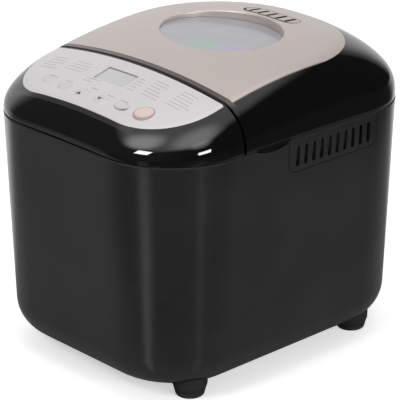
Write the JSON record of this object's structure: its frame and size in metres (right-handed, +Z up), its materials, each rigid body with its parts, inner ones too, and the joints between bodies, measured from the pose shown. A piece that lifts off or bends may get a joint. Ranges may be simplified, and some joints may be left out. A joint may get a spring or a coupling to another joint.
{
  "type": "bread machine",
  "caption": "Countertop bread machine with a hinged domed lid with a viewing window, a sloped control panel, and a lift-out pan over a belt-driven paddle.",
  "frame": {"origin": "on the ground under the middle of the body", "axes": "+Z up, +X the machine's right, -Y its front with the control panel"},
  "size_m": [0.277, 0.34, 0.2998],
  "materials": {
    "body_black": "fine matte moulded black",
    "gloss_black": "piano black gloss",
    "lid_champagne": "satin champagne metallic paint",
    "vent_plastic": "satin silver-grey",
    "panel_grey": "satin silver-grey film",
    "start_key": "satin, faintly pink",
    "display_lens": "clear lens over a grey-green display",
    "window_glass": "coated heat-resistant glass",
    "foot_rubber": "matte rubber",
    "inner_plastic": "moulded dark plastic",
    "zinc_steel": "zinc-plated sheet",
    "element_sheath": "drawn stainless",
    "cast_aluminium": "cast or pressed, satin",
    "nonstick": "dark non-stick coating",
    "silicone": "silicone rubber",
    "circuit_board": "green laminate"
  },
  "bodies": {
    "housing": {"outer_housing": "body_black", "vent_grille_left": "body_black", "vent_grille_right": "body_black", "base_plate": "inner_plastic", "base_screw_1": "zinc_steel", "base_screw_2": "zinc_steel", "base_screw_3": "zinc_steel", "base_screw_4": "zinc_steel", "foot_front_left": "foot_rubber", "foot_rear_left": "foot_rubber", "foot_front_right": "foot_rubber", "foot_rear_right": "foot_rubber", "chassis": "zinc_steel", "bearing_housing": "cast_aluminium", "drive_belt": "foot_rubber", "drive_motor": "zinc_steel", "oven_chamber": "zinc_steel", "heating_element": "element_sheath", "element_clip_left": "zinc_steel", "element_clip_right": "zinc_steel", "temperature_sensor": "element_sheath", "pan_seat": "cast_aluminium", "top_deck": "inner_plastic", "front_bezel": "gloss_black", "control_overlay": "panel_grey", "lcd_lens": "display_lens", "lcd_module": "inner_plastic", "control_board": "circuit_board", "hinge_pin_left": "zinc_steel", "hinge_pin_right": "zinc_steel", "cord_gland": "foot_rubber", "power_board": "circuit_board", "motor_capacitor": "inner_plastic"},
    "lid": {"lid_frame": "gloss_black", "lid_top_panel": "lid_champagne", "window_carrier": "inner_plastic", "window_glass": "window_glass", "lid_vent_insert": "vent_plastic", "lid_liner": "cast_aluminium", "lid_gasket": "silicone"},
    "drive": {"drive_shaft": "zinc_steel", "drive_pulley": "inner_plastic", "drive_coupling": "cast_aluminium"},
    "motor_rotor": {"motor_shaft": "zinc_steel", "motor_pulley": "cast_aluminium"},
    "pan": {"bread_pan": "nonstick", "pan_base_ring": "cast_aluminium", "shaft_seal": "silicone"},
    "bail": {"pan_handle": "element_sheath"},
    "paddle": {"paddle_shaft": "element_sheath", "pan_coupling": "cast_aluminium", "kneading_paddle": "nonstick"},
    "menu_key": {"button_menu": "panel_grey"},
    "loaf_size_key": {"button_loaf_size": "panel_grey"},
    "time_down_key": {"button_time_down": "panel_grey"},
    "time_up_key": {"button_time_up": "panel_grey"},
    "crust_colour_key": {"button_crust_colour": "panel_grey"},
    "start_stop_key": {"button_start_stop": "start_key"}
  },
  "joints": [
    {"name": "lid_hinge", "type": "hinge", "parent": "housing", "child": "lid", "pos_m": [0, 0.166, 0.24], "axis": [-1, 0, 0], "range_deg": [0, 88]},
    {"name": "drive_spin", "type": "hinge", "parent": "housing", "child": "drive", "pos_m": [0, 0.034, 0.05], "axis": [0, 0, 1], "continuous": true},
    {"name": "motor_spin", "type": "hinge", "parent": "housing", "child": "motor_rotor", "pos_m": [0, -0.112, 0.05], "axis": [0, 0, 1], "continuous": true},
    {"name": "pan_lift", "type": "slide", "parent": "housing", "child": "pan", "axis": [0, 0, 1], "range_m": [0, 0.012]},
    {"name": "bail_swing", "type": "hinge", "parent": "pan", "child": "bail", "pos_m": [0, 0.034, 0.207], "axis": [-1, 0, 0], "range_deg": [0, 35]},
    {"name": "paddle_spin", "type": "hinge", "parent": "pan", "child": "paddle", "pos_m": [0, 0.034, 0.1], "axis": [0, 0, 1], "continuous": true},
    {"name": "menu_press", "type": "slide", "parent": "housing", "child": "menu_key", "axis": [0, 0.3051, -0.9523], "range_m": [0, 0.0008], "stiffness_N_per_m": 600},
    {"name": "loaf_size_press", "type": "slide", "parent": "housing", "child": "loaf_size_key", "axis": [0, 0.3051, -0.9523], "range_m": [0, 0.0008], "stiffness_N_per_m": 600},
    {"name": "time_down_press", "type": "slide", "parent": "housing", "child": "time_down_key", "axis": [0, 0.3051, -0.9523], "range_m": [0, 0.0008], "stiffness_N_per_m": 600},
    {"name": "time_up_press", "type": "slide", "parent": "housing", "child": "time_up_key", "axis": [0, 0.3051, -0.9523], "range_m": [0, 0.0008], "stiffness_N_per_m": 600},
    {"name": "crust_colour_press", "type": "slide", "parent": "housing", "child": "crust_colour_key", "axis": [0, 0.3051, -0.9523], "range_m": [0, 0.0008], "stiffness_N_per_m": 600},
    {"name": "start_stop_press", "type": "slide", "parent": "housing", "child": "start_stop_key", "axis": [0, 0.3051, -0.9523], "range_m": [0, 0.0008], "stiffness_N_per_m": 600}
  ],
  "couplings": [
    {"joint": "motor_spin", "follows": "drive_spin", "ratio": 5.2941},
    {"joint": "paddle_spin", "follows": "drive_spin", "ratio": 1}
  ]
}
